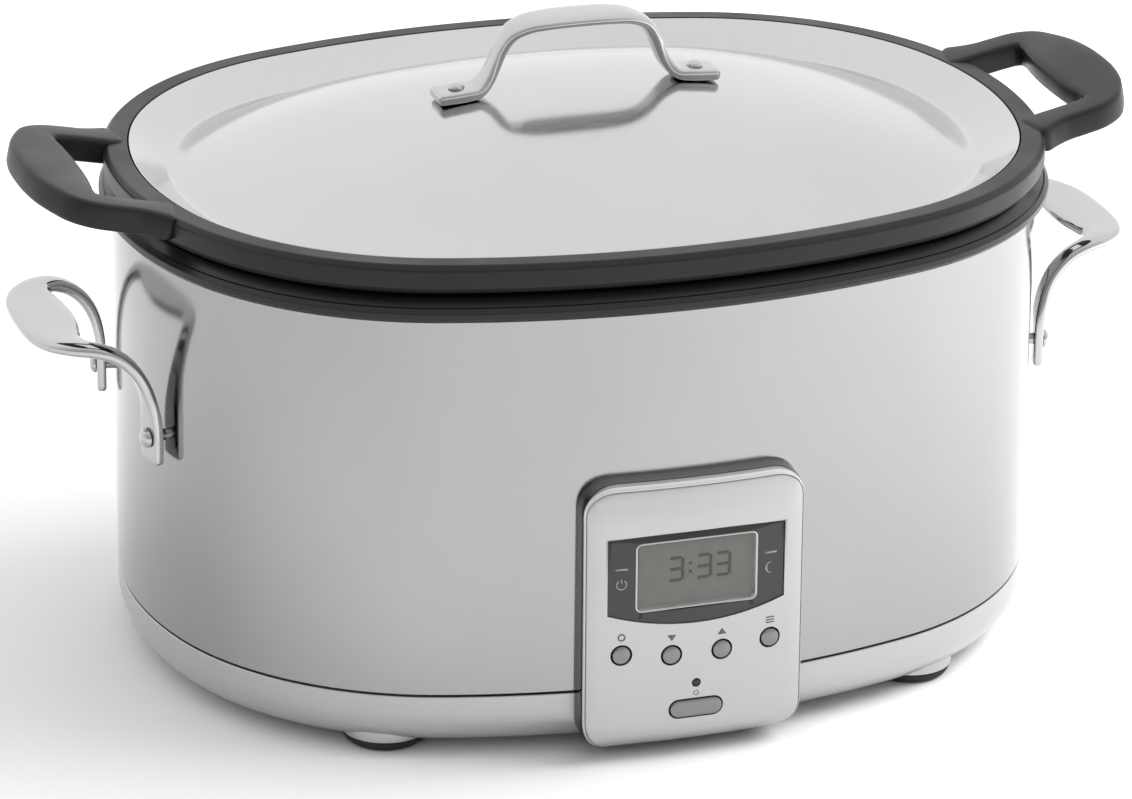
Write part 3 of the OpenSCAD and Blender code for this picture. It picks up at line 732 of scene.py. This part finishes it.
def add_side_rivets():
    pieces = []
    profile = [(2.4, -10), (2.4, 0), (4.0, 0.1), (4.1, 0.6), (3.7, 1.6), (2.7, 2.4), (1.3, 2.8)]
    for turn in (0, math.pi):
        for side in (-1, 1):
            axis = Matrix.Rotation(turn, 3, "Z") @ Vector((0.97, side * 0.24, 0))
            centre = Matrix.Rotation(turn, 3, "Z") @ Vector((192.2, side * 42.5, 114))
            pieces.append(spun(profile, centre, axis))
    make("side_rivet_heads", *join_lists(*pieces), POLISHED, "housing", "polished_steel",
         ["side_handle_rivets"])


add_side_handles()
add_side_rivets()


# ---------------------------------------------------------------- control panel

PANEL_LOW, PANEL_HIGH = box_mm("panel_fascia")
PANEL_CORNER = 14
SIDE_C_FRONT = -SIDE_C.y
FACE_SETBACK = 0.5
FACE_BULGE = 0.9
FACE_FOOT_R = 12
FACE_R = SIDE_C_FRONT - PANEL_LOW.y - FACE_SETBACK
PANEL_DEPTH = FACE_R - SIDE_R
SURROUND_GAP = 0.3
TRIM_TURN = math.radians(20)
PLATE_EDGE = 0.6


def lean(z):
    """How far the face lies behind its upright line: a crease near the top, and a rounded foot."""
    crease = PANEL_HIGH.z - 16
    foot = PANEL_LOW.z + FACE_FOOT_R
    if z > crease:
        return 0.12 * (z - crease)
    if z > foot:
        return -FACE_BULGE * (crease - z) / (crease - foot)
    return -FACE_BULGE + FACE_FOOT_R - math.sqrt(max(0.0, FACE_FOOT_R ** 2 - (foot - z) ** 2))


def side_roll(x):
    """How far the face turns back beside its left and right edges."""
    start = PANEL_HIGH.x - 6
    return max(0.0, abs(x) - start) ** 2 / 22


def on_face(x, z, back=0.0):
    """The point of the panel's face seen at x and z, moved back from it."""
    radius = FACE_R - back - lean(z) - side_roll(x)
    return (x, SIDE_C_FRONT - math.sqrt(radius ** 2 - x * x), z)


def panel_outline():
    """Centre and outward normal of each point of the panel's rounded front outline."""
    r = PANEL_CORNER
    wide, low, high = PANEL_HIGH.x - r, PANEL_LOW.z + r, PANEL_HIGH.z - r
    centres = [Vector(c) for c in ((wide, low), (wide, high), (-wide, high), (-wide, low))]
    points = []
    for i, centre in enumerate(centres):
        for k in range(9):
            angle = math.radians(90 * (i - 1) + 10 * k)
            points.append((centre, Vector((math.cos(angle), math.sin(angle)))))
        normal = Vector((math.cos(math.radians(90 * i)), math.sin(math.radians(90 * i))))
        following = centres[(i + 1) % 4]
        count = round((following - centre).length / 4)
        for k in range(count):
            points.append((centre.lerp(following, k / count), normal))
    return points


OUTLINE = panel_outline()


def upward(normal):
    return max(0.0, normal.y) ** 2


def edge_radius(normal):
    """Radius of the trim's rounded edge: larger along the top."""
    return 1.0 + 2.4 * upward(normal)


def edge_base(normal):
    """How far the trim starts inside the panel's outline."""
    return 0.2 + 1.7 * upward(normal)


def ring(place):
    """One row of points round the panel, where place(normal, z) gives the inset and the depth."""
    row = []
    for centre, normal in OUTLINE:
        inset, back = place(normal, centre.y)
        x, z = centre + (PANEL_CORNER - inset) * normal
        row.append(on_face(x, z, back))
    return row


def strip(rows):
    return [p for row in rows for p in row], grid_faces(len(rows), len(rows[0]), close_rows=False)


def add_surround():
    """The wall between the housing and the trim."""
    def wall_back(normal, z):
        """Back to just inside the wrapper, or inside the skirt where that curves away."""
        low = z + (PANEL_CORNER - 0.2) * normal.y
        below = max(0.0, PANEL_LOW.z + 16 - low)
        recess = 16 - math.sqrt(max(0.0, 256 - below ** 2))
        return PANEL_DEPTH - lean(low) - side_roll(PANEL_HIGH.x) * abs(normal.x) + 0.6 + recess

    rows = [
        ring(lambda n, z: (3.2, wall_back(n, z))),
        ring(lambda n, z: (0.0, wall_back(n, z))),
        ring(lambda n, z: (edge_base(n) - 0.2, edge_radius(n) + SURROUND_GAP + 0.3)),
        ring(lambda n, z: (edge_base(n), edge_radius(n) + SURROUND_GAP)),
        ring(lambda n, z: (edge_base(n) + 2.6, edge_radius(n) + SURROUND_GAP)),
    ]
    # Its material paints the upward-facing top silver as painted sheen.
    make("surround_wall", *strip(rows), SURROUND_PAINTED_TOP_SHEEN, "housing", "panel_chrome", ["panel_surround"])


def add_trim():
    """The rounded edge of the panel, as a bright moulding round its face."""
    def turn(angle):
        def place(normal, z):
            radius = edge_radius(normal)
            return edge_base(normal) + radius * (1 - math.sin(angle)), radius * (1 - math.cos(angle))
        return ring(place)

    rows = [ring(lambda n, z: (edge_base(n) + 2.6, edge_radius(n) + 0.15)),
            ring(lambda n, z: (edge_base(n) + 0.15, edge_radius(n) + 0.15))]
    steps = 8
    for i in range(steps + 1):
        rows.append(turn(math.pi / 2 + (TRIM_TURN - math.pi / 2) * i / steps))
    across, deep = 1 - math.sin(TRIM_TURN), 1 - math.cos(TRIM_TURN)
    rows.append(ring(lambda n, z: (edge_base(n) + edge_radius(n) * across + 0.15,
                                   edge_radius(n) * deep + 0.6)))
    make("panel_trim", *strip(rows), TRIM_SILVER, "housing", "panel_chrome")


def plate_inset(normal):
    return edge_base(normal) + edge_radius(normal) * (1 - math.sin(TRIM_TURN)) + 0.25


def circle(x, z, radius, sides=32):
    return [(x + radius * math.cos(2 * math.pi * k / sides), z + radius * math.sin(2 * math.pi * k / sides))
            for k in range(sides)]


def slot_outline(z, width, height, sides=12):
    """A slot with round ends."""
    r = height / 2
    points = []
    for side, start in ((1, -90), (-1, 90)):
        for k in range(sides + 1):
            angle = math.radians(start + 180 * k / sides)
            points.append((side * (width / 2 - r) + r * math.cos(angle), z + r * math.sin(angle)))
    return points


def window_outline(grow):
    """The window: square above, with its lower edge bowed down."""
    low, high = box_mm("display_window")
    half = high.x + grow
    arc_r = 111.8 + grow
    centre_z = low.z + 111.8
    points = [(half, high.z + grow), (-half, high.z + grow)]
    steps = 14
    for k in range(steps + 1):
        x = -half + 2 * half * k / steps
        points.append((x, centre_z - math.sqrt(arc_r ** 2 - x * x)))
    return points


def inside(point, outline):
    """Whether a point is inside a closed outline, by counting crossings."""
    x, z = point
    crossings = 0
    for (x1, z1), (x2, z2) in zip(outline, outline[1:] + outline[:1]):
        if (z1 > z) != (z2 > z) and x < x1 + (z - z1) / (z2 - z1) * (x2 - x1):
            crossings += 1
    return crossings % 2 == 1


def plate(outer, holes, back, spacing=3.0):
    """Vertices and faces of a plate over the panel's face, inside outer and outside the holes."""
    outlines = [outer] + holes
    points, edges = [], []
    for outline in outlines:
        start, count = len(points), len(outline)
        points += [Vector((round(x, 3), round(z, 3))) for x, z in outline]
        edges += [(start + k, start + (k + 1) % count) for k in range(count)]
    x_low, x_high = min(p[0] for p in outer), max(p[0] for p in outer)
    z_low, z_high = min(p[1] for p in outer), max(p[1] for p in outer)
    columns, rows = math.ceil((x_high - x_low) / spacing), math.ceil((z_high - z_low) / spacing)
    for i in range(1, columns):
        for j in range(1, rows):
            point = (x_low + i * (x_high - x_low) / columns, z_low + j * (z_high - z_low) / rows)
            if inside(point, outer) and not any(inside(point, hole) for hole in holes):
                points.append(Vector(point))
    flat, _, triangles, *_ = geometry.delaunay_2d_cdt(points, edges, [], 0, 0.001)
    faces = []
    for triangle in triangles:
        middle = sum((flat[k] for k in triangle), Vector((0, 0))) / 3
        if inside(middle, outer) and not any(inside(middle, hole) for hole in holes):
            faces.append(list(triangle))
    return [on_face(p.x, p.y, back) for p in flat], faces


def hole_wall(outline, start, depth):
    """Vertices and faces of a hole's wall, from the plate's front to depth behind it."""
    rows = [[on_face(x, z, start) for x, z in outline], [on_face(x, z, start + depth) for x, z in outline]]
    return strip(rows)


def button_hole(node):
    low, high = box_mm(node)
    return ((low.x + high.x) / 2, (low.z + high.z) / 2)


ROUND_BUTTONS = ["set_button", "down_button", "up_button", "mode_button"]
BUTTON_R = 3.7
CAP_DEPTH = 4
POWER_Z = button_hole("power_button")[1]
LAMP = button_hole("indicator_light")


def add_fascia():
    holes = [window_outline(0.25), slot_outline(POWER_Z, 22.9, 8.3), circle(*LAMP, 1.9, 20)]
    holes += [circle(*button_hole(node), BUTTON_R + 0.75) for node in ROUND_BUTTONS]
    edge_rows = [
        ring(lambda n, z: (plate_inset(n), 1.4)),
        ring(lambda n, z: (plate_inset(n), PLATE_EDGE)),
        ring(lambda n, z: (plate_inset(n) + PLATE_EDGE * 0.3, PLATE_EDGE * 0.28)),
        ring(lambda n, z: (plate_inset(n) + PLATE_EDGE, 0)),
    ]
    outer = [tuple(c + (PANEL_CORNER - plate_inset(n) - PLATE_EDGE) * n) for c, n in OUTLINE]
    parts = [strip(edge_rows), plate(outer, holes, 0)]
    parts += [hole_wall(hole, 0, 2.3) for hole in holes]
    piece = make("fascia_front", *join_lists(*parts), PANEL_SILVER, "housing", "panel_silver",
                 ["panel_fascia"])
    weld(piece)


def weld(piece):
    """Joins the piece's coincident points."""
    joined = bmesh.new()
    joined.from_mesh(piece.data)
    bmesh.ops.remove_doubles(joined, verts=joined.verts, dist=0.00002)
    joined.to_mesh(piece.data)
    joined.free()
    piece.data.polygons.foreach_set("use_smooth", [True] * len(piece.data.polygons))
    piece.data.set_sharp_from_angle(angle=math.radians(35))


def rectangle(low, high, radius, grow=0.0):
    """A rounded rectangle between two corners, grown outwards."""
    r = max(radius + grow, 0.05)
    x1, z1, x2, z2 = low[0] - grow, low[1] - grow, high[0] + grow, high[1] + grow
    points = []
    corners = ((x2 - r, z1 + r, -90), (x2 - r, z2 - r, 0), (x1 + r, z2 - r, 90), (x1 + r, z1 + r, 180))
    for cx, cz, start in corners:
        for k in range(6):
            angle = math.radians(start + 18 * k)
            points.append((cx + r * math.cos(angle), cz + r * math.sin(angle)))
    return points


def add_window():
    frame_low, frame_high = box_mm("display_frame")
    hole = rectangle((frame_low.x, frame_low.z), (frame_high.x, frame_high.z), 2.6, 0.05)
    outer = window_outline(0.0)
    parts = [plate(outer, [hole], 0.7), hole_wall(outer, 0.7, 1.6), hole_wall(hole, 0.7, 1.6)]
    piece = make("window_pane", *join_lists(*parts), SMOKED, "housing", "smoked_pane", ["display_window"])
    weld(piece)

    rows = []
    for grow, back in ((0, 2.0), (0, 0.75), (-0.25, 0.4), (-0.7, 0.4), (-1.0, 0.8), (-2.2, 3.1)):
        outline = rectangle((frame_low.x, frame_low.z), (frame_high.x, frame_high.z), 2.6, grow)
        rows.append([on_face(x, z, back) for x, z in outline])
    make("display_bezel", *strip(rows), BEZEL, "housing", "display_chrome", ["display_frame"])


def flat_mark(outline, back=0.6, thick=0.12):
    """A thin printed mark on the panel: its front and its edge."""
    front = [on_face(x, z, back - thick) for x, z in outline]
    rear = [on_face(x, z, back) for x, z in outline]
    count = len(outline)
    faces = [list(range(count))]
    faces += [[k, (k + 1) % count, count + (k + 1) % count, count + k] for k in range(count)]
    return front + rear, faces


def ring_mark(x, z, radius, width, start, sweep, back):
    """An arc of a ring."""
    steps = max(6, round(abs(sweep) / 15))
    outer, inner = [], []
    for k in range(steps + 1):
        angle = math.radians(start + sweep * k / steps)
        outer.append((x + radius * math.cos(angle), z + radius * math.sin(angle)))
        inner.append((x + (radius - width) * math.cos(angle), z + (radius - width) * math.sin(angle)))
    front = outer + inner
    vertices = [on_face(px, pz, back - 0.12) for px, pz in front]
    vertices += [on_face(px, pz, back) for px, pz in front]
    count = steps + 1
    faces = []
    for k in range(steps):
        faces.append((k, k + 1, count + k + 1, count + k))
        faces.append((k, k + 1, 2 * count + k + 1, 2 * count + k))
        faces.append((count + k, count + k + 1, 3 * count + k + 1, 3 * count + k))
    return vertices, faces


def bar_mark(x, z, width, height, back):
    corners = [(x - width / 2, z - height / 2), (x + width / 2, z - height / 2),
               (x + width / 2, z + height / 2), (x - width / 2, z + height / 2)]
    return flat_mark(corners, back)


def power_mark(x, z, size, back):
    width = size * 0.2
    return join_lists(ring_mark(x, z, size, width, 125, 290, back),
                      bar_mark(x, z + size * 0.65, width, size * 0.9, back))


def crescent(x, z, size, back):
    """A moon: an outer arc closed by an inner arc of the same ends."""
    outer = [(x + size * math.cos(math.radians(a)), z + size * math.sin(math.radians(a)))
             for a in range(-70, -291, -20)]
    inner = [(x + size * 0.34 + size * math.cos(math.radians(a)), z + size * math.sin(math.radians(a)))
             for a in range(-250, -109, 20)]
    return flat_mark(outer + inner, back)


def add_marks():
    side = (box_mm("display_window")[1].x + box_mm("display_frame")[1].x) / 2
    middle = (box_mm("display_frame")[0].z + box_mm("display_frame")[1].z) / 2 - 2
    light = join_lists(power_mark(-side, middle, 2.2, 0.7), bar_mark(-side, middle + 6.4, 5.0, 0.7, 0.7),
                       crescent(side, middle, 2.4, 0.7), bar_mark(side, middle + 6.4, 5.0, 0.7, 0.7))
    make("window_marks", *light, MARK_LIGHT, "housing", "display_chrome", (), False)
    above = 7.6
    dark = []
    for node, kind in zip(ROUND_BUTTONS, ("ring", "down", "up", "lines")):
        x, z = button_hole(node)
        z += above
        if kind == "ring":
            dark.append(ring_mark(x, z, 1.6, 0.55, 0, 360, 0))
        elif kind == "lines":
            dark += [bar_mark(x, z + step, 3.6, 0.45, 0) for step in (-1.1, 0, 1.1)]
        else:
            tip = 1.5 if kind == "up" else -1.5
            dark.append(flat_mark([(x - 1.8, z - tip * 0.7), (x + 1.8, z - tip * 0.7), (x, z + tip)], 0))
    dark.append(power_mark(0, POWER_Z + 6.4, 1.15, 0))
    make("panel_marks", *join_lists(*dark), MARK_DARK, "housing", "digit_ink", (), False)


def add_buttons():
    profile = [(BUTTON_R, -CAP_DEPTH), (BUTTON_R, -0.45), (BUTTON_R - 0.12, -0.1), (BUTTON_R - 0.45, 0.1),
               (BUTTON_R - 1.2, 0.28), (BUTTON_R - 2.4, 0.42), (1.0, 0.5)]
    for node in ROUND_BUTTONS:
        x, z = button_hole(node)
        y = on_face(x, z)[1] - 0.35
        cap = spun(profile, (x, y, z), (0, -1, 0))
        make(node + "_cap", *cap, BUTTON_SILVER, node, "button_silver", [node])
    rows = []
    steps = ((0, -CAP_DEPTH), (0, 0.1), (0.12, 0.38), (0.45, 0.55), (1.3, 0.7), (2.3, 0.78), (3.1, 0.8))
    for inset, proud in steps:
        y = on_face(0, POWER_Z)[1] - proud
        rows.append([(x, y, z) for x, z in slot_outline(POWER_Z, 21.6 - 2 * inset, 7.0 - 2 * inset)])
    vertices, faces = strip(rows)
    faces.append(list(range(len(vertices) - len(rows[0]), len(vertices))))
    make("power_button_cap", vertices, faces, BUTTON_SILVER, "power_button", "button_silver",
         ["power_button"])
    lamp_y = on_face(*LAMP)[1]
    profile = [(1.6, -4), (1.6, -0.1), (1.4, 0.15), (1.0, 0.35), (0.5, 0.45)]
    lens = spun(profile, (LAMP[0], lamp_y + 0.2, LAMP[1]), (0, -1, 0), 24)
    make("lamp_lens", *lens, LENS, "housing", "lamp_red", ["indicator_light"])


add_surround()
add_trim()
add_fascia()
add_window()
add_marks()
add_buttons()


# ---------------------------------------------------------------- feet

def add_feet():
    for node in ("foot_front_left", "foot_front_right", "foot_rear_left", "foot_rear_right"):
        low, high = box_mm(node)
        radius = (high.x - low.x) / 2
        top = high.z
        profile = [(radius - 12.4, 2.6), (radius - 12.4, 0.7), (radius - 11.9, 0.1), (radius - 3.6, 0.02),
                   (radius - 2.6, 0.3), (radius - 1.2, 1.4), (radius - 0.5, 2.6), (radius - 0.1, top - 0.5),
                   (radius - 0.3, top), (radius - 12, top)]
        centre = ((low.x + high.x) / 2, (low.y + high.y) / 2, 0)
        foot = spun(profile, centre, (0, 0, 1), 56)
        make(node + "_rubber", *foot, RUBBER, "housing", "foot_rubber", [node])


add_feet()


# ---------------------------------------------------------------- finishes of the frame's own pieces

FINISHES = {
    "cord_gland": BLACK_PLASTIC, "base_plate": PLATED, "base_plate_screws": PLATED, "foot_screws": PLATED,
    "display_glass": LCD_GREEN, "display_digits": DIGIT_INK,
}
for node, material in FINISHES.items():
    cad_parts[node].data.materials.clear()
    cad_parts[node].data.materials.append(material)
